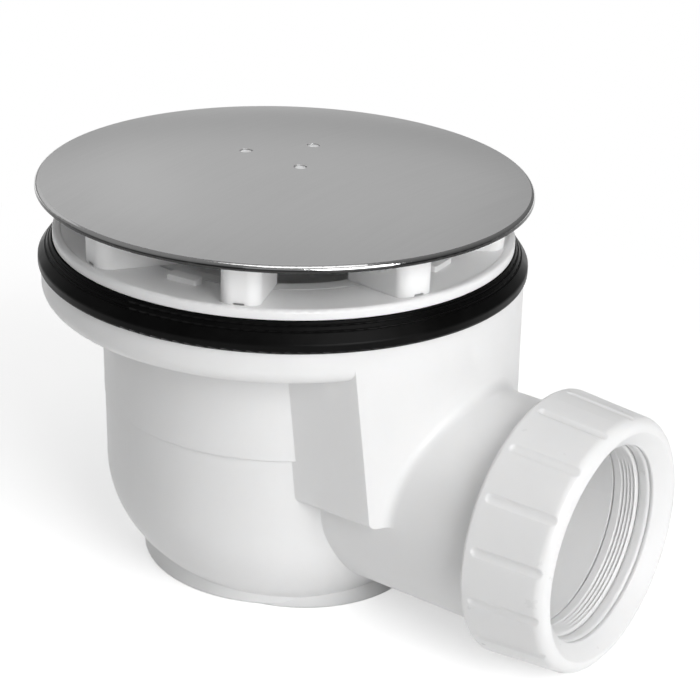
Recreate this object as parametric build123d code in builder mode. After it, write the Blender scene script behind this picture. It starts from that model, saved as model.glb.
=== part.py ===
from build123d import *
import os
from math import asin, degrees, hypot, radians, sqrt, tan

# Shower trap for a 90 mm tray hole, in millimetres.
# +Z is up along the pot's axis, +X points out of the outlet, and the origin is on the foot's underside.

# Pot: drafted wall with a belt step that runs out at the back, rounded bowl, level floor, round foot and toe
pot_height = 66.6
pot_radius = 41.95
pot_draft = 1.2
belt_height = 42.6
belt_step = 0.42
belt_shift = 0.38
wall = 2.6
bowl_radius = 24.5
bowl_slope = 11.0
bowl_drop = 1.5
floor_height = 3.5
floor_radius = 21.0
foot_radius = 32.6
foot_rise = 9.0
foot_edge = 0.6
toe_radius = 29.0
toe_shift = 7.6
toe_rise = 4.0

# Lip that carries the tray gasket, hollowed from below inside its rim
lip_radius = 56.4
lip_height = 8.1
lip_edge = 4.0
lip_plate = 3.1
lip_rim = 4.8

# Weir chamber between the pot and the outlet
weir_height = 59.5
weir_half_width = 25.0
weir_opening = 7.9
chamber_floor_lift = 1.15
chamber_half_width = 33.4
chamber_converge = 0.3
chamber_flare = 2.7
chamber_flare_start = 34.7
chamber_bend = 60.0
chamber_inner_end = 18.0
chamber_draft = 4.8
chamber_lean = 1.45
chamber_edge = 1.6

# Outlet pipe with its threaded spigot, for a waste pipe of 43 mm
outlet_height = 30.75
socket_radius = 21.8
socket_stop = 58.0
stop_width = 2.0
pipe_wall = 4.3
pipe_joint = 2.5
pipe_shoulder = 72.5
spigot_wall = 3.6
spigot_length = 7.9
spigot_chamfer = 0.8

# Outlet nut with the slip ring and the ribbed seal that it presses on the spigot
nut_wall = 5.2
nut_draft = 4.2
nut_gap = 0.7
nut_lip = 3.7
nut_lip_land = 0.8
nut_mouth_gap = 1.0
nut_flare = 3.6
nut_front_edge = 2.8
nut_back_edge = 0.8
nut_lead_in = 1.2
grip_count = 16
grip_angle = 169.3
grip_radius = 1.8
grip_depth = 0.42
grip_inset = 2.1
seal_length = 6.1
seal_relief = 0.4
seal_relief_depth = 1.2
seal_rib_count = 4
seal_rib_pitch = 0.9
seal_rib_height = 0.5
slip_length = 3.0
slip_gap = 0.6
slip_edge = 0.9

# Tray gasket with concentric ridges
gasket_radius = 57.1
gasket_thickness = 5.2
gasket_width = 11.3
gasket_side_height = 2.2
gasket_edge = 0.8
ridge_count = 3
ridge_groove = 0.32

# Inlet flange: conical dish with a rim inside the gasket's crest, and a neck that screws into the pot
flange_inset = 3.4
flange_rim_rise = 1.3
flange_rim_run = 4.0
flange_rim = 2.25
flange_rim_width = 1.6
flange_rim_slope = 0.4
flange_rim_edge = 0.7
dish_rise = 3.1
dish_slope = 6.5
throat_edge = 0.4
neck_length = 13.9
neck_wall = 3.0
ledge_width = 3.2
ledge_height = 2.6
lug_count = 4
lug_angle = -84.1
lug_width = 7.6
lug_depth = 3.0
lug_inset = 2.6
lug_height = 1.3
lug_edge = 0.4

# Dip tube with its O-ring
seal_depth = 50.0
tube_radius = 27.0
tube_wall = 2.0
collar_height = 6.0
collar_edge = 0.6
skirt_depth = 1.5
funnel_height = 14.0
ring_section = 1.38
ring_side_room = 0.15

# Cover: metal skin on a moulded carrier with legs
cover_radius = 57.5
cover_lift = 11.45
dome_height = 5.9
skin = 0.8
cover_rim = 1.25
cover_edge = 1.1
carrier_inset = 5.0
carrier_thickness = 1.8
leg_count = 8
leg_angle = -62.7
leg_width = 8.9
leg_inner_radius = 31.6
leg_corner = 3.0
heel_width = 2.4
heel_height = 0.45
heel_depth = 1.6
hole_count = 3
hole_angle = 87.3
hole_circle = 9.5
hole_radius = 1.5
stake_recess = 0.25

# Clearances
thread_clearance = 0.3
slide_clearance = 0.4
skin_clearance = 0.1
pipe_clearance = 0.05
squeeze_gap = 0.02


def pot_outside(height):
    """Outer radius of the pot's lower wall, carried on at its draft."""
    return pot_radius - (belt_height - height) * tan(radians(pot_draft))


def pot_inside(height):
    """Inner radius of the pot."""
    return pot_outside(height) - wall


def circles_of(builder, radius):
    """Circular edges of one radius in a part under construction."""
    circles = builder.edges().filter_by(GeomType.CIRCLE)
    return circles.filter_by(lambda edge: abs(edge.radius - radius) < 0.001)


def dish_height(across):
    """Height of the flange's conical dish at a distance from the axis."""
    return dish_seat - (rim_foot - across) * tan(radians(dish_slope))


# Heights and radii that follow from the sizes above
lip_top = pot_height + lip_height
flange_under = lip_top + gasket_thickness
dish_seat = flange_under + dish_rise
rim_under = flange_under + flange_rim_rise
rim_top = rim_under + flange_rim
flange_radius = gasket_radius - flange_inset
rim_inner = flange_radius - flange_rim_width
rim_foot = rim_inner - flange_rim_slope
neck_bottom = flange_under - neck_length
neck_radius = pot_inside(neck_bottom) - thread_clearance
throat_radius = neck_radius - neck_wall
ledge_radius = throat_radius - ledge_width
ledge_top = dish_height(throat_radius) - collar_height
ledge_bottom = ledge_top - ledge_height
spigot_end = pipe_shoulder + spigot_length
slip_start = spigot_end + seal_length
nut_lip_back = slip_start + slip_length
nut_front = nut_lip_back + nut_lip
nut_back = pipe_shoulder + nut_gap
waterway_radius = socket_radius - stop_width
pipe_radius = socket_radius + pipe_wall
spigot_radius = socket_radius + spigot_wall
nut_thread_radius = spigot_radius + thread_clearance
nut_radius = nut_thread_radius + nut_wall
nut_mouth_radius = socket_radius + nut_mouth_gap
nut_flare_radius = nut_mouth_radius + nut_flare
slip_radius = socket_radius + slip_gap
outlet_axis = Axis((0, 0, outlet_height), (1, 0, 0))

# Pot's outer form: drafted wall and belt, with a bowl that runs down towards the outlet
bowl_fall = tan(radians(bowl_slope))
bowl_plane = Plane(origin=(0, 0, -bowl_drop), z_dir=(bowl_fall, 0, 1))
bowl_reach = -bowl_drop - pot_radius * bowl_fall - wall
belt_top_radius = pot_outside(lip_top) + belt_step
with BuildPart() as pot_form:
    with BuildSketch(Plane.XZ):
        with BuildLine():
            Polyline(
                (0, bowl_reach),
                (pot_outside(bowl_reach), bowl_reach),
                (pot_radius, belt_height),
                (0, belt_height),
                close=True,
            )
        make_face()
    revolve(axis=Axis.Z)
    split(bisect_by=bowl_plane, keep=Keep.TOP)
    fillet(pot_form.faces().sort_by(Axis.Z)[0].edges(), radius=bowl_radius)
    split(bisect_by=Plane.XY, keep=Keep.TOP)
    with BuildSketch(Plane.XZ):
        with BuildLine():
            Polyline(
                (belt_shift, belt_height),
                (belt_shift + pot_radius + belt_step, belt_height),
                (belt_shift + belt_top_radius, lip_top),
                (belt_shift, lip_top),
                close=True,
            )
        make_face()
    revolve(axis=Axis((belt_shift, 0, 0), (0, 0, 1)))

# Pot's hollow, open at the lip
with BuildPart() as pot_hollow:
    with BuildSketch(Plane.XZ):
        with BuildLine():
            Polyline(
                (0, floor_height),
                (pot_inside(floor_height), floor_height),
                (pot_inside(lip_top + wall), lip_top + wall),
                (0, lip_top + wall),
                close=True,
            )
        make_face()
    revolve(axis=Axis.Z)
    fillet(pot_hollow.edges().sort_by(Axis.Z)[0], radius=floor_radius)

# Weir chamber and outlet pipe: sides draw in downwards and to the outlet, and the end is flush with the lip
chamber_floor = outlet_height + chamber_floor_lift
chamber_top = lip_top - lip_plate / 2
chamber_roof = lip_top - lip_plate


def chamber_outline(height, inset):
    """Plan of the chamber at a height, with sides that bend outwards where they reach the pot."""
    shrink = (chamber_top - height) * tan(radians(chamber_draft)) + inset
    converge = tan(radians(chamber_converge))
    flare = tan(radians(chamber_converge + chamber_flare))
    end = lip_radius + wall
    end_half = chamber_half_width - wall * converge
    bend_half = chamber_half_width + (lip_radius - chamber_flare_start) * converge
    inner_half = bend_half + (chamber_flare_start - chamber_inner_end) * flare
    side = [(chamber_inner_end, inner_half), (chamber_flare_start, bend_half), (end, end_half)]
    near = [(x, shrink - half) for x, half in side]
    far = [(x, half - shrink) for x, half in reversed(side)]
    return near + far


def on_bend(across):
    """True at the place where the chamber's sides bend."""
    return abs(across - chamber_flare_start) < 0.001


def chamber_end(inset):
    """Half section of the chamber's end wall: flush with the lip, leaning out a little below it."""
    knee = pot_height + lip_edge
    foot = lip_radius + (knee - chamber_floor) * tan(radians(chamber_lean)) - inset
    straight = lip_radius - inset
    return [(0, chamber_floor), (foot, chamber_floor), (straight, knee), (straight, lip_top), (0, lip_top)]


def on_pipe_joint(edge):
    """True for the line where the outlet pipe leaves the chamber's end wall."""
    spots = [edge @ (step / 4) for step in range(5)]
    on_pipe = all(abs(hypot(spot.Y, spot.Z - outlet_height) - pipe_radius) < 0.01 for spot in spots)
    inside = chamber_inner_end + wall < spots[2].X < pipe_shoulder - wall
    return on_pipe and inside and spots[2].Z > outlet_height + pipe_wall


with BuildPart() as chamber_form:
    for height in (chamber_floor, chamber_top):
        with BuildSketch(Plane.XY.offset(height)) as plan:
            with BuildLine():
                Polyline(*chamber_outline(height, 0), close=True)
            make_face()
            fillet(plan.vertices().filter_by(lambda corner: on_bend(corner.X)), radius=chamber_bend)
    loft(ruled=True)
    fillet(chamber_form.faces().sort_by(Axis.Z)[0].edges(), radius=chamber_edge)
    with BuildSketch(Plane.XZ):
        with BuildLine():
            Polyline(*chamber_end(0), close=True)
        make_face()
    revolve(axis=Axis.Z, mode=Mode.INTERSECT)
    with BuildSketch(Plane.YZ.offset(chamber_inner_end)):
        with Locations((0, outlet_height)):
            Circle(pipe_radius)
    extrude(amount=pipe_shoulder - chamber_inner_end)
    fillet(chamber_form.edges().filter_by(on_pipe_joint), radius=pipe_joint)

# Waterway: chamber's hollow and the outlet's bore, outside the pot's wall
with BuildPart() as waterway:
    for height in (chamber_floor + wall, chamber_roof):
        with BuildSketch(Plane.XY.offset(height)):
            with BuildLine():
                Polyline(*chamber_outline(height, wall), close=True)
            make_face()
    loft(ruled=True)
    with BuildSketch(Plane.XZ):
        with BuildLine():
            Polyline(*chamber_end(wall), close=True)
        make_face()
    revolve(axis=Axis.Z, mode=Mode.INTERSECT)
    with BuildSketch(Plane.YZ.offset(chamber_inner_end)):
        with Locations((0, outlet_height)):
            Circle(waterway_radius)
    extrude(amount=socket_stop - chamber_inner_end)
    with BuildSketch(Plane.YZ.offset(socket_stop)):
        with Locations((0, outlet_height)):
            Circle(socket_radius)
    extrude(amount=spigot_end - socket_stop)
    add(pot_form.part, mode=Mode.SUBTRACT)

# Body: foot, pot, lip, weir chamber, outlet pipe and spigot in one moulding
with BuildPart() as body:
    with BuildSketch(Plane.XY.offset(pot_height)):
        Circle(lip_radius)
    extrude(amount=lip_height)
    fillet(circles_of(body, lip_radius).sort_by(Axis.Z)[0], radius=lip_edge)
    with BuildSketch(Plane.XY.offset(pot_height)):
        Circle(lip_radius - lip_rim)
    extrude(amount=lip_height - lip_plate, mode=Mode.SUBTRACT)
    add(pot_form.part)
    with BuildSketch(Plane.XY):
        Circle(foot_radius)
    extrude(amount=foot_rise)
    fillet(body.faces().sort_by(Axis.Z)[0].edges(), radius=foot_edge)
    with Locations((toe_shift, 0, 0)):
        Cone(toe_radius, toe_radius - toe_rise, toe_rise, align=(Align.CENTER, Align.CENTER, Align.MIN))
    add(chamber_form.part)
    with BuildSketch(Plane.YZ.offset(pipe_shoulder)):
        with Locations((0, outlet_height)):
            Circle(spigot_radius)
    extrude(amount=spigot_length)
    chamfer(body.faces().sort_by(Axis.X)[-1].edges(), length=spigot_chamfer)
    add(waterway.part, mode=Mode.SUBTRACT)
    add(pot_hollow.part, mode=Mode.SUBTRACT)
    window_start = sqrt(pot_inside(weir_height) ** 2 - weir_half_width**2) - wall
    window_length = belt_shift + belt_top_radius + slide_clearance - window_start
    with BuildSketch(Plane.XY.offset(weir_height)):
        with Locations((window_start + window_length / 2, 0)):
            Rectangle(window_length, 2 * weir_half_width)
    extrude(amount=weir_opening, mode=Mode.SUBTRACT)

# Tray gasket: flat under the flange, with a ridged slope outside the flange's rim
gasket_inner = gasket_radius - gasket_width
crest = (flange_radius + slide_clearance, rim_under - 2 * skin_clearance)
shoulder = (gasket_radius, lip_top + gasket_side_height)
with BuildPart() as tray_gasket:
    with BuildSketch(Plane.XZ):
        with BuildLine():
            Polyline(
                (gasket_inner, lip_top),
                (gasket_radius, lip_top),
                shoulder,
                crest,
                (flange_radius - flange_rim_run + slide_clearance, flange_under),
                (gasket_inner, flange_under),
                close=True,
            )
        make_face()
    revolve(axis=Axis.Z)
    fillet(circles_of(tray_gasket, gasket_radius), radius=gasket_edge)
    with BuildSketch(Plane.XZ):
        for ridge in range(ridge_count):
            share = (ridge + 0.6) / (ridge_count + 0.8)
            across = crest[0] + share * (shoulder[0] - crest[0])
            up = crest[1] + share * (shoulder[1] - crest[1])
            with Locations((across, up)):
                Circle(ridge_groove)
    revolve(axis=Axis.Z, mode=Mode.SUBTRACT)

# Inlet flange: rimmed dish, threaded neck with an inner ledge, and lugs for a spanner key
lug_outer = throat_radius + lug_inset + lug_depth
with BuildPart() as inlet_flange:
    with BuildSketch(Plane.XZ):
        with BuildLine():
            Polyline(
                (neck_radius, neck_bottom),
                (neck_radius, flange_under),
                (flange_radius - flange_rim_run, flange_under),
                (flange_radius, rim_under),
                (flange_radius, rim_top),
                (rim_inner, rim_top),
                (rim_foot, dish_seat),
                (throat_radius, dish_height(throat_radius)),
                (throat_radius, ledge_top),
                (ledge_radius, ledge_top),
                (ledge_radius, ledge_bottom),
                (throat_radius, ledge_bottom),
                (throat_radius, neck_bottom),
                close=True,
            )
        make_face()
    revolve(axis=Axis.Z)
    fillet(inlet_flange.edges().group_by(Axis.Z)[-1], radius=flange_rim_edge)
    fillet(circles_of(inlet_flange, throat_radius).sort_by(Axis.Z)[-1], radius=throat_edge)
    with BuildSketch(Plane.XY.offset(flange_under)):
        with PolarLocations(lug_outer - lug_depth / 2, lug_count, start_angle=lug_angle):
            RectangleRounded(lug_depth, lug_width, lug_edge)
    extrude(amount=dish_height(lug_outer) + lug_height - flange_under)

# Dip tube: collar on the neck's ledge, funnel and straight tube that ends below the weir
collar_radius = throat_radius - slide_clearance
skirt_radius = ledge_radius - slide_clearance
skirt_bottom = ledge_bottom - skirt_depth
tube_mouth = skirt_radius - tube_wall
tube_end = weir_height - seal_depth
ring_height = ledge_top + collar_height / 2
ring_radius = throat_radius - squeeze_gap - ring_section
groove_bottom = ring_radius - ring_section - squeeze_gap
groove_half = ring_section + ring_side_room
with BuildPart() as dip_tube:
    with BuildSketch(Plane.XZ):
        with BuildLine():
            Polyline(
                (tube_radius, tube_end),
                (tube_radius, skirt_bottom - funnel_height),
                (skirt_radius, skirt_bottom),
                (skirt_radius, ledge_top),
                (collar_radius, ledge_top),
                (collar_radius, ring_height - groove_half),
                (groove_bottom, ring_height - groove_half),
                (groove_bottom, ring_height + groove_half),
                (collar_radius, ring_height + groove_half),
                (collar_radius, dish_height(collar_radius)),
                (tube_mouth, dish_height(tube_mouth)),
                (tube_mouth, skirt_bottom),
                (tube_radius - tube_wall, skirt_bottom - funnel_height),
                (tube_radius - tube_wall, tube_end),
                close=True,
            )
        make_face()
    revolve(axis=Axis.Z)
    fillet(circles_of(dip_tube, tube_mouth).sort_by(Axis.Z)[-1], radius=collar_edge)

# O-ring in the collar's groove
with BuildPart() as tube_o_ring:
    with BuildSketch(Plane.XZ):
        with Locations((ring_radius, ring_height)):
            Circle(ring_section)
    revolve(axis=Axis.Z)

# Cover's metal skin: shallow dome with a turned-down rim
dome_edge = dish_seat + cover_lift
dome_radius = (cover_radius**2 + dome_height**2) / (2 * dome_height)
dome_centre = dome_edge + dome_height - dome_radius
rim_bottom = dome_edge - cover_rim


def dome_height_at(across, below):
    """Height of the dome's surface, or of a surface below it, at a distance from the axis."""
    return dome_centre + sqrt((dome_radius - below) ** 2 - across**2)


def dome_arc(across, below):
    """Arc of the dome from a distance out to the axis."""
    radius = dome_radius - below
    angle = degrees(asin(across / radius))
    return CenterArc((0, dome_centre), radius, 90 - angle, angle)


with BuildPart() as cover_skin:
    with BuildSketch(Plane.XZ):
        with BuildLine():
            outer = dome_arc(cover_radius, 0)
            inner = dome_arc(cover_radius - skin, skin)
            Polyline(outer @ 0, (cover_radius, rim_bottom), (cover_radius - skin, rim_bottom), inner @ 0)
            Line(inner @ 1, outer @ 1)
        make_face()
    revolve(axis=Axis.Z)
    fillet(circles_of(cover_skin, cover_radius).sort_by(Axis.Z)[-1], radius=cover_edge)
    with BuildSketch(Plane.XY.offset(rim_bottom)):
        with PolarLocations(hole_circle, hole_count, start_angle=hole_angle):
            Circle(hole_radius)
    extrude(amount=cover_rim + 2 * dome_height, mode=Mode.SUBTRACT)

# Cover's carrier: disc under the skin, legs that stand in the flange's dish, and stakes in the skin's holes
carrier_radius = cover_radius - carrier_inset
carrier_top = skin + skin_clearance
leg_outer_radius = rim_foot - slide_clearance
leg_length = leg_outer_radius - leg_inner_radius
leg_middle = leg_inner_radius + leg_length / 2
with BuildPart() as cover_carrier:
    with BuildSketch(Plane.XY.offset(flange_under)) as leg_plan:
        with PolarLocations(leg_middle, leg_count, start_angle=leg_angle):
            Rectangle(leg_length, leg_width)
        corners = leg_plan.vertices().filter_by(lambda corner: hypot(corner.X, corner.Y) > leg_middle)
        fillet(corners, radius=leg_corner)
    extrude(amount=dish_rise + cover_lift + dome_height)
    with BuildSketch(Plane.XZ):
        with BuildLine():
            Polyline(
                (0, neck_bottom),
                (rim_foot, neck_bottom),
                (rim_foot, dish_seat),
                (0, dish_height(0)),
                close=True,
            )
        make_face()
    revolve(axis=Axis.Z, mode=Mode.SUBTRACT)
    with BuildSketch(Plane.XY.offset(flange_under)):
        with PolarLocations(leg_outer_radius, leg_count, start_angle=leg_angle):
            Rectangle(2 * heel_depth, heel_width)
    extrude(amount=dish_rise + heel_height, mode=Mode.SUBTRACT)
    with BuildSketch(Plane.XZ):
        with BuildLine():
            upper = dome_arc(carrier_radius, carrier_top)
            lower = dome_arc(carrier_radius, carrier_top + carrier_thickness)
            Line(lower @ 0, upper @ 0)
            Line(lower @ 1, upper @ 1)
        make_face()
    revolve(axis=Axis.Z)
    with BuildSketch(Plane.XZ):
        with BuildLine():
            upper = dome_arc(carrier_radius, carrier_top)
            Polyline(upper @ 0, (carrier_radius, neck_bottom), (0, neck_bottom), upper @ 1)
        make_face()
    revolve(axis=Axis.Z, mode=Mode.INTERSECT)
    stake_base = dome_height_at(hole_circle, carrier_top + carrier_thickness / 2)
    with BuildSketch(Plane.XY.offset(stake_base)):
        with PolarLocations(hole_circle, hole_count, start_angle=hole_angle):
            Circle(hole_radius - skin_clearance)
    extrude(amount=dome_height_at(hole_circle, stake_recess) - stake_base)

# Outlet nut: flared mouth, inner lip and grip grooves along its tapered outside
grip_run = sqrt(grip_depth * (2 * grip_radius - grip_depth))
grip_start = nut_back + grip_inset + grip_run


def nut_outside(along):
    """Outer radius of the nut at a distance along the outlet's axis."""
    return nut_radius - (along - nut_back) * tan(radians(nut_draft))


with BuildPart() as outlet_nut:
    with BuildSketch(Plane.XZ):
        with BuildLine():
            Polyline(
                (nut_back, outlet_height + nut_thread_radius + nut_lead_in),
                (nut_back, outlet_height + nut_radius),
                (nut_front, outlet_height + nut_outside(nut_front)),
                (nut_front, outlet_height + nut_flare_radius),
                (nut_lip_back + nut_lip_land, outlet_height + nut_mouth_radius),
                (nut_lip_back, outlet_height + nut_mouth_radius),
                (nut_lip_back, outlet_height + nut_thread_radius),
                (nut_back + nut_lead_in, outlet_height + nut_thread_radius),
                close=True,
            )
        make_face()
    revolve(axis=outlet_axis)
    fillet(circles_of(outlet_nut, nut_outside(nut_front)), radius=nut_front_edge)
    fillet(circles_of(outlet_nut, nut_radius), radius=nut_back_edge)
    grip_ends = []
    for grip in range(grip_count):
        outward = Vector(0, 1, 0).rotate(Axis.X, grip_angle + grip * 360 / grip_count)
        out = nut_outside(grip_start) - grip_depth + grip_radius
        end = Vector(grip_start, 0, outlet_height) + outward * out
        along = Vector(1, 0, 0) - outward * tan(radians(nut_draft))
        grip_ends.append(end)
        with BuildSketch(Plane(end, z_dir=along)):
            Circle(grip_radius)
    extrude(amount=nut_front - nut_back, mode=Mode.SUBTRACT)
    with Locations(*grip_ends):
        Sphere(grip_radius, mode=Mode.SUBTRACT)

# Slip ring behind the nut's lip
with BuildPart() as slip_ring:
    with BuildSketch(Plane.XZ):
        with BuildLine():
            Polyline(
                (slip_start, outlet_height + slip_radius),
                (nut_lip_back, outlet_height + slip_radius),
                (nut_lip_back, outlet_height + spigot_radius),
                (slip_start, outlet_height + spigot_radius),
                close=True,
            )
        make_face()
    revolve(axis=outlet_axis)
    fillet(circles_of(slip_ring, slip_radius), radius=slip_edge)

# Ribbed outlet seal between the spigot's end and the slip ring
rib_crest = outlet_height + socket_radius + pipe_clearance
rib_root = rib_crest + seal_rib_height
rib_start = slip_start - seal_rib_count * seal_rib_pitch
seal_inside = [(spigot_end, rib_crest + seal_relief_depth), (spigot_end + seal_relief, rib_crest)]
seal_inside.append((rib_start - seal_rib_pitch / 2, rib_crest))
for rib in range(seal_rib_count):
    seal_inside.append((rib_start + rib * seal_rib_pitch, rib_root))
    seal_inside.append((rib_start + (rib + 0.5) * seal_rib_pitch, rib_crest))
seal_inside.append((slip_start, rib_root))
with BuildPart() as outlet_seal:
    with BuildSketch(Plane.XZ):
        with BuildLine():
            Polyline(
                *seal_inside,
                (slip_start, outlet_height + spigot_radius),
                (spigot_end, outlet_height + spigot_radius),
                close=True,
            )
        make_face()
    revolve(axis=outlet_axis)

os.makedirs("parts", exist_ok=True)
body.part.label = "body"
export_step(body.part, "parts/body.step")
tray_gasket.part.label = "tray_gasket"
export_step(tray_gasket.part, "parts/tray_gasket.step")
inlet_flange.part.label = "inlet_flange"
export_step(inlet_flange.part, "parts/inlet_flange.step")
dip_tube.part.label = "dip_tube"
export_step(dip_tube.part, "parts/dip_tube.step")
tube_o_ring.part.label = "tube_o_ring"
export_step(tube_o_ring.part, "parts/tube_o_ring.step")
cover_skin.part.label = "cover_skin"
export_step(cover_skin.part, "parts/cover_skin.step")
cover_carrier.part.label = "cover_carrier"
export_step(cover_carrier.part, "parts/cover_carrier.step")
outlet_nut.part.label = "outlet_nut"
export_step(outlet_nut.part, "parts/outlet_nut.step")
slip_ring.part.label = "slip_ring"
export_step(slip_ring.part, "parts/slip_ring.step")
outlet_seal.part.label = "outlet_seal"
export_step(outlet_seal.part, "parts/outlet_seal.step")
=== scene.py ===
import math

import bmesh
import bpy
from mathutils import Matrix, Vector


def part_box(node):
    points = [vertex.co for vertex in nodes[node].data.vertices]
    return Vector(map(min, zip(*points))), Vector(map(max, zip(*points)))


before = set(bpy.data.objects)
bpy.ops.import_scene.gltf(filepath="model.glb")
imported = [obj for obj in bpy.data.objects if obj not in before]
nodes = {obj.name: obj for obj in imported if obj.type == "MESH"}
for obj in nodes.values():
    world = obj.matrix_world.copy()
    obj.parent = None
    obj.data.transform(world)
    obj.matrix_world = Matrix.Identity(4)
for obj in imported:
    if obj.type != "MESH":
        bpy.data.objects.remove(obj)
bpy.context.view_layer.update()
scene = bpy.context.scene
scene.view_settings.view_transform = "Standard"

MM = 0.001

# Camera fitted to the photograph: angles in degrees, place and range in metres, lens and sensor in mm
CAMERA_AZIMUTH = 35.58
CAMERA_ELEVATION = 23.49
CAMERA_ROLL = 2.38
CAMERA_PLACE = (0.2687, -0.3474, 0.24255)
CAMERA_LENS = 102.86
CAMERA_SENSOR = 36.0
CAMERA_RANGE = (0.01, 50)

# The middle of a noise pattern, where most of its values lie
NOISE_MIDDLE = (0.3, 0.7)

# White plastics: flow marks, slow waviness, patches of gloss, fine grain and the glow of light inside
FLOW_STRETCH = (1, 1, 0.35)
FLOW_SCALE = 55
WAVE_SCALE = 42
WAVE_STRENGTH = 0.08
WAVE_HEIGHT = 1.2 * MM
PATCH_SCALE = 190
PATCH_SPREAD = (-0.05, 0.06)
GRAIN_SCALE = 2600
FINE_HEIGHT = 0.03 * MM
EDGE_SAMPLES = 6
PLASTIC_IOR = 1.49
GLOW_RADIUS = (1.0, 0.95, 0.9)

# Steel cover: satin grain and slow clouds of tone
STEEL_TONES = (0.62, 0.65)
STEEL_ROUGHNESS = (0.32, 0.38)
CLOUD_SCALE = 16
SATIN_STRETCH = (1500, 30, 30)
SATIN_TONE = 0.55
SATIN_SHARE = 0.10
SATIN_LIMITS = (0.4, 0.7)
SATIN_STRENGTH = 0.04
SATIN_HEIGHT = 0.02 * MM

# The cover's rim is polished up to its rounded edge; below that its lower band is darkened, a painted dark
# reflection of dark surroundings
RIM_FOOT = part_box("cover_skin")[0][2]
PAINTED_REFLECTION_HEIGHT = (RIM_FOOT + 0.6 * MM, RIM_FOOT + 0.85 * MM)
PAINTED_REFLECTION_TONE = 0.06
POLISH_HEIGHT = (RIM_FOOT + 1.25 * MM, RIM_FOOT + 1.5 * MM)
POLISH = 0.3

# Rubbers: faint bloom and fine pits
BLOOM_SCALE = 120
BLOOM_SPREAD = (-0.05, 0.08)
BLOOM_LIMITS = (0.35, 0.75)
PIT_SCALE = 1900
PIT_STRENGTH = 0.05

# White floor just under the part: it shows the shadow near the part and plain white farther out
FLOOR_RADIUS = 6.0
FLOOR_SIDES = 96
FLOOR_HEIGHT = -0.0001
FLOOR_FADE = (0.08, 0.26)
FLOOR_LIFT = 0.52
PLAIN_WHITE = 1.0
PAPER_SCALE = 900
PAPER_TONES = (0.84, 0.87)

# The sky is brightest behind the part on the left: azimuth and elevation in degrees, light at both ends
BRIGHT_SIDE = (175, 35)
DARK_LIGHT = 0.02
BRIGHT_LIGHT = 0.29

# The lamps stand round the middle of the part
LAMP_TARGET = Vector((0.02, 0, 0.05))
LAMP_DISTANCE = 1.0


def towards(azimuth, elevation):
    """Direction with an azimuth from +X and an elevation, in degrees."""
    turn = math.radians(azimuth)
    rise = math.radians(elevation)
    return Vector((math.cos(turn) * math.cos(rise), math.sin(turn) * math.cos(rise), math.sin(rise)))


def make_camera():
    right = towards(CAMERA_AZIMUTH, 0)
    back = towards(CAMERA_AZIMUTH - 90, CAMERA_ELEVATION)
    up = back.cross(right)
    roll = math.radians(CAMERA_ROLL)
    turned_right = math.cos(roll) * right + math.sin(roll) * up
    turned_up = math.cos(roll) * up - math.sin(roll) * right
    data = bpy.data.cameras.new("camera")
    data.lens = CAMERA_LENS
    data.sensor_width = CAMERA_SENSOR
    data.clip_start, data.clip_end = CAMERA_RANGE
    camera = bpy.data.objects.new("camera", data)
    axes = Matrix((turned_right, turned_up, back)).transposed().to_4x4()
    camera.matrix_world = Matrix.Translation(CAMERA_PLACE) @ axes
    scene.collection.objects.link(camera)
    scene.camera = camera


def grey(level):
    return (level, level, level, 1.0)


class Nodes:
    """Short way to add and join shader nodes."""

    def __init__(self, tree):
        self.tree = tree
        tree.nodes.clear()

    def add(self, kind, values=None, **settings):
        node = self.tree.nodes.new(kind)
        for name, value in settings.items():
            setattr(node, name, value)
        for socket, value in (values or {}).items():
            if isinstance(value, bpy.types.NodeSocket):
                self.tree.links.new(value, node.inputs[socket])
            else:
                node.inputs[socket].default_value = value
        return node

    def math(self, operation, first, second):
        return self.add("ShaderNodeMath", {0: first, 1: second}, operation=operation).outputs[0]

    def vector_math(self, operation, values):
        return self.add("ShaderNodeVectorMath", values, operation=operation).outputs["Value"]

    def noise(self, vector, scale, detail, roughness):
        values = {"Vector": vector, "Scale": scale, "Detail": detail, "Roughness": roughness}
        return self.add("ShaderNodeTexNoise", values).outputs["Fac"]

    def stretched(self, vector, scale):
        return self.add("ShaderNodeMapping", {"Vector": vector, "Scale": scale}).outputs["Vector"]

    def span(self, value, low, high, limits=(0.0, 1.0), kind="LINEAR"):
        start, stop = limits
        values = {"Value": value, "From Min": start, "From Max": stop, "To Min": low, "To Max": high}
        return self.add("ShaderNodeMapRange", values, interpolation_type=kind).outputs["Result"]

    def blend(self, factor, first, second):
        return self.add("ShaderNodeMix", {0: factor, 6: first, 7: second}, data_type="RGBA").outputs[2]

    def bump(self, height, strength, distance, normal=None):
        values = {"Height": height, "Strength": strength, "Distance": distance}
        if normal is not None:
            values["Normal"] = normal
        return self.add("ShaderNodeBump", values).outputs["Normal"]

    def emission(self, strength):
        return self.add("ShaderNodeEmission", {"Color": grey(1), "Strength": strength}).outputs[0]

    def mix_shader(self, factor, first, second):
        return self.add("ShaderNodeMixShader", {0: factor, 1: first, 2: second}).outputs[0]


def new_material(name):
    material = bpy.data.materials.new(name)
    material.use_nodes = True
    made = Nodes(material.node_tree)
    place = made.add("ShaderNodeTexCoord").outputs["Object"]
    return material, made, place


def finish_material(made, tone, rough, normal, **constants):
    values = {"Base Color": tone, "Roughness": rough, "Normal": normal}
    for name, value in constants.items():
        values[name.replace("_", " ")] = value
    shader = made.add("ShaderNodeBsdfPrincipled", values).outputs["BSDF"]
    made.add("ShaderNodeOutputMaterial", {"Surface": shader})


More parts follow.
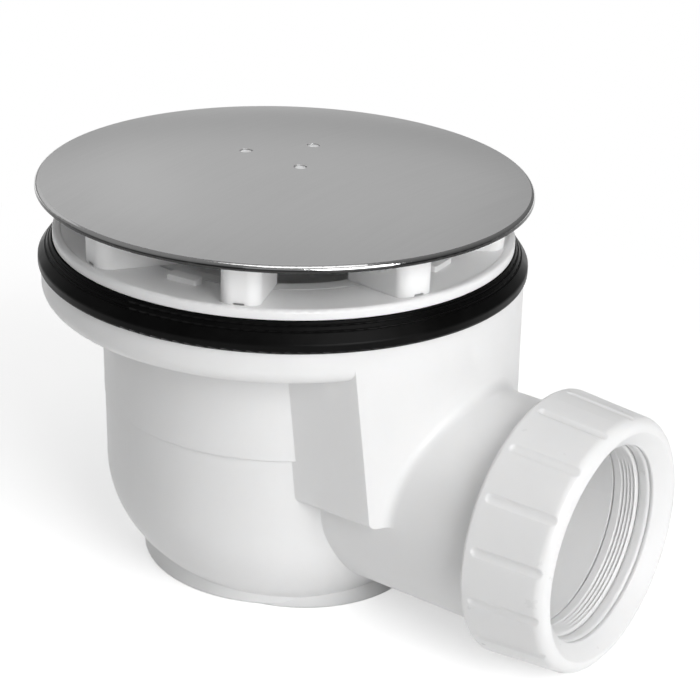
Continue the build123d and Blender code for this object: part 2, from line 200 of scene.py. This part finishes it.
def moulded_plastic(name, light, dark, gloss, grain, soft, glow, depth):
    """White moulded plastic with slightly rounded edges: soft and depth are in millimetres."""
    material, made, place = new_material(name)
    flow = made.noise(made.stretched(place, FLOW_STRETCH), FLOW_SCALE, detail=4, roughness=0.55)
    tone = made.blend(made.span(flow, 0, 1, NOISE_MIDDLE, "SMOOTHSTEP"), grey(light), grey(dark))
    patches = made.noise(place, PATCH_SCALE, detail=4, roughness=0.6)
    rough = made.span(patches, gloss + PATCH_SPREAD[0], gloss + PATCH_SPREAD[1], NOISE_MIDDLE)
    slow = made.noise(place, WAVE_SCALE, detail=2, roughness=0.4)
    fine = made.noise(place, GRAIN_SCALE, detail=2, roughness=0.6)
    normal = made.add("ShaderNodeBevel", {"Radius": soft * MM}, samples=EDGE_SAMPLES).outputs["Normal"]
    normal = made.bump(slow, WAVE_STRENGTH, WAVE_HEIGHT, normal)
    normal = made.bump(fine, grain, FINE_HEIGHT, normal)
    finish_material(made, tone, rough, normal, IOR=PLASTIC_IOR, Subsurface_Weight=glow,
                    Subsurface_Radius=GLOW_RADIUS, Subsurface_Scale=depth * MM)
    return material


def satin_steel(name):
    """Stainless sheet with a fine satin grain, slow tone changes, a polished rim and a painted dark
    reflection on the rim's lower band.
    """
    material, made, place = new_material(name)
    grain = made.noise(made.stretched(place, SATIN_STRETCH), 1.0, detail=5, roughness=0.65)
    cloud = made.noise(place, CLOUD_SCALE, detail=3, roughness=0.5)
    height = made.add("ShaderNodeSeparateXYZ", {"Vector": place}).outputs["Z"]
    tone = made.blend(made.span(cloud, 0, 1, NOISE_MIDDLE), grey(STEEL_TONES[0]), grey(STEEL_TONES[1]))
    tone = made.blend(made.span(grain, 0, SATIN_SHARE, SATIN_LIMITS), tone, grey(SATIN_TONE))
    # Painted dark reflection: the rim's lower band is darkened towards its foot to stand in for the dark
    # surroundings it would mirror
    tone = made.blend(made.span(height, 1, 0, PAINTED_REFLECTION_HEIGHT, "SMOOTHSTEP"), tone, grey(PAINTED_REFLECTION_TONE))
    polish = made.span(height, POLISH, 1, POLISH_HEIGHT, "SMOOTHSTEP")
    satin = made.span(grain, STEEL_ROUGHNESS[0], STEEL_ROUGHNESS[1], NOISE_MIDDLE)
    rough = made.math("MULTIPLY", satin, polish)
    normal = made.bump(grain, SATIN_STRENGTH, SATIN_HEIGHT)
    finish_material(made, tone, rough, normal, Metallic=1.0)
    return material


def moulded_rubber(name, low, high, gloss, specular):
    """Moulded rubber: smooth skin with faint bloom and fine pits."""
    material, made, place = new_material(name)
    bloom = made.noise(place, BLOOM_SCALE, detail=4, roughness=0.6)
    pits = made.noise(place, PIT_SCALE, detail=2, roughness=0.5)
    tone = made.blend(made.span(bloom, 0, 1, BLOOM_LIMITS), grey(low), grey(high))
    rough = made.span(bloom, gloss + BLOOM_SPREAD[0], gloss + BLOOM_SPREAD[1], NOISE_MIDDLE)
    normal = made.bump(pits, PIT_STRENGTH, FINE_HEIGHT)
    finish_material(made, tone, rough, normal, Specular_IOR_Level=specular)
    return material


def dress_nodes():
    white = moulded_plastic("white_plastic", light=0.86, dark=0.84, gloss=0.36, grain=0.08,
                            soft=0.3, glow=0.3, depth=2.5)
    # Lighter copy of the white plastic for the flange and carrier: painted light that brightens them in
    # the shade under the cover
    painted_light_white = moulded_plastic("inner_plastic_painted_light", light=0.93, dark=0.915, gloss=0.38, grain=0.08,
                                  soft=0.3, glow=0.15, depth=1.5)
    nut_white = moulded_plastic("nut_plastic", light=0.87, dark=0.85, gloss=0.32, grain=0.06,
                                soft=0.5, glow=0.3, depth=2.5)
    tube_white = moulded_plastic("tube_plastic", light=0.83, dark=0.81, gloss=0.45, grain=0.10,
                                 soft=0.3, glow=0.3, depth=2.5)
    steel = satin_steel("steel")
    black = moulded_rubber("black_rubber", low=0.002, high=0.004, gloss=0.33, specular=0.08)
    pale = moulded_rubber("pale_rubber", low=0.84, high=0.81, gloss=0.5, specular=0.4)
    looks = {
        "body": white,
        "inlet_flange": painted_light_white,
        "cover_carrier": painted_light_white,
        "outlet_nut": nut_white,
        "slip_ring": nut_white,
        "dip_tube": tube_white,
        "cover_skin": steel,
        "tray_gasket": black,
        "tube_o_ring": black,
        "outlet_seal": pale,
    }
    for name, material in looks.items():
        mesh = nodes[name].data
        mesh.materials.clear()
        mesh.materials.append(material)


def seen_rays(made):
    """One for rays that show the background: straight, mirrored or seen through."""
    path = made.add("ShaderNodeLightPath").outputs
    seen = made.math("MAXIMUM", path["Is Camera Ray"], path["Is Glossy Ray"])
    return made.math("MAXIMUM", seen, path["Is Transmission Ray"])


def floor_paper():
    """White paper that is plain white to the eye away from the part."""
    material, made, place = new_material("floor")
    seen = seen_rays(made)
    far = made.span(made.vector_math("LENGTH", {0: place}), 0, 1, FLOOR_FADE, "SMOOTHSTEP")
    paper = made.noise(place, PAPER_SCALE, detail=2, roughness=0.5)
    paper = made.span(paper, PAPER_TONES[0], PAPER_TONES[1])
    paper = made.add("ShaderNodeCombineColor", {0: paper, 1: paper, 2: paper}).outputs["Color"]
    diffuse = made.add("ShaderNodeBsdfDiffuse", {"Color": paper}).outputs[0]
    near = made.add("ShaderNodeAddShader", {0: diffuse, 1: made.emission(FLOOR_LIFT)}).outputs[0]
    shown = made.mix_shader(far, near, made.emission(PLAIN_WHITE))
    surface = made.mix_shader(seen, diffuse, shown)
    made.add("ShaderNodeOutputMaterial", {"Surface": surface})
    return material


def make_floor():
    disc = bmesh.new()
    bmesh.ops.create_circle(disc, cap_ends=True, segments=FLOOR_SIDES, radius=FLOOR_RADIUS)
    mesh = bpy.data.meshes.new("floor")
    disc.to_mesh(mesh)
    disc.free()
    floor = bpy.data.objects.new("floor", mesh)
    scene.collection.objects.link(floor)
    floor.location = (0, 0, FLOOR_HEIGHT)
    mesh.materials.append(floor_paper())


def make_world():
    world = bpy.data.worlds.new("world")
    world.use_nodes = True
    scene.world = world
    made = Nodes(world.node_tree)
    aim = made.add("ShaderNodeTexCoord").outputs["Generated"]
    across = made.vector_math("DOT_PRODUCT", {0: aim, 1: towards(*BRIGHT_SIDE)})
    strength = made.span(across, DARK_LIGHT, BRIGHT_LIGHT, (-1.0, 1.0))
    sky = made.add("ShaderNodeBackground", {"Color": grey(1), "Strength": strength}).outputs[0]
    made.add("ShaderNodeOutputWorld", {"Surface": sky})


def softbox(name, azimuth, elevation, width, height, power):
    """Area lamp that looks at the middle of the part."""
    data = bpy.data.lights.new(name, "AREA")
    data.shape = "RECTANGLE"
    data.size = width
    data.size_y = height
    data.energy = power
    lamp = bpy.data.objects.new(name, data)
    away = towards(azimuth, elevation)
    lamp.location = LAMP_TARGET + away * LAMP_DISTANCE
    lamp.rotation_mode = "QUATERNION"
    lamp.rotation_quaternion = (-away).to_track_quat("-Z", "Y")
    scene.collection.objects.link(lamp)


make_camera()
dress_nodes()
make_floor()
make_world()
softbox("key", azimuth=-20, elevation=27, width=0.6, height=0.6, power=6.7)
softbox("top", azimuth=-30, elevation=80, width=0.6, height=0.6, power=1.8)
softbox("front", azimuth=-50, elevation=22, width=0.7, height=0.7, power=0.45)
softbox("low", azimuth=-20, elevation=7, width=0.5, height=0.2, power=0.6)
softbox("back", azimuth=125, elevation=33, width=0.6, height=0.8, power=0.6)
softbox("back_left", azimuth=165, elevation=25, width=0.8, height=0.5, power=0.5)
